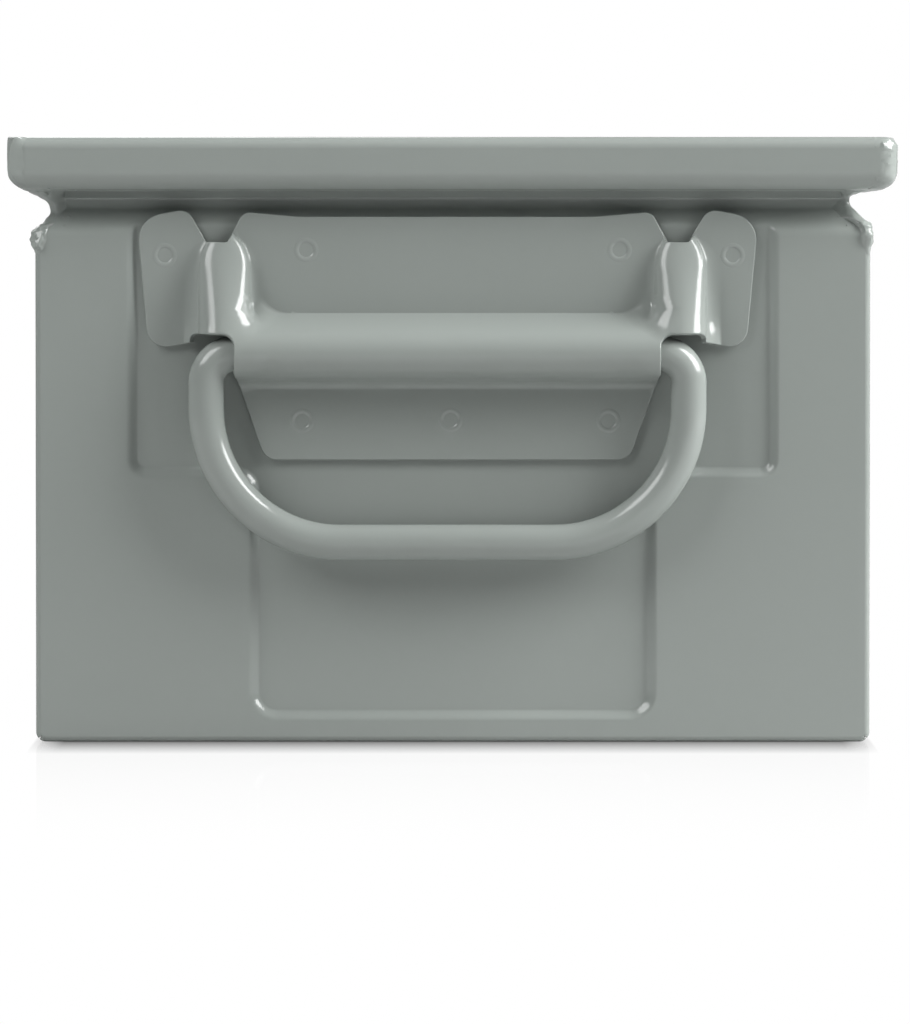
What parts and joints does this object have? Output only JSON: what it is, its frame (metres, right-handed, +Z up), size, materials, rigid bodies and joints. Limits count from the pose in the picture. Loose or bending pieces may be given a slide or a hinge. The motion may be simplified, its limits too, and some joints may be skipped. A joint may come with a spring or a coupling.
{
  "type": "stacking box",
  "caption": "Open stacking and carrying box of painted sheet steel, with a rolled stacking rim, a T-shaped recess and a drop handle at each end.",
  "frame": {"origin": "on the ground under the middle of the box", "axes": "+Z up, +Y along the length from the end that the picture shows to the far end, +X to the right as that end is looked at"},
  "size_m": [0.3, 0.4626, 0.2044],
  "materials": {
    "painted_steel": "semi-gloss grey-green stoved paint over sheet steel, light orange peel"
  },
  "bodies": {
    "box": {"trough": "painted_steel", "front_end_panel": "painted_steel", "front_handle_bracket": "painted_steel", "front_left_corner_weld": "painted_steel", "front_right_corner_weld": "painted_steel", "back_end_panel": "painted_steel", "back_handle_bracket": "painted_steel", "back_left_corner_weld": "painted_steel", "back_right_corner_weld": "painted_steel"},
    "front_handle": {"front_handle": "painted_steel"},
    "back_handle": {"back_handle": "painted_steel"}
  },
  "joints": [
    {"name": "front_handle_swing", "type": "hinge", "parent": "box", "child": "front_handle", "pos_m": [-0.0018, -0.223, 0.1315], "axis": [-1, 0, 0], "range_deg": [0, 90]},
    {"name": "back_handle_swing", "type": "hinge", "parent": "box", "child": "back_handle", "pos_m": [0.0018, 0.223, 0.1315], "axis": [1, 0, 0], "range_deg": [0, 90]}
  ]
}
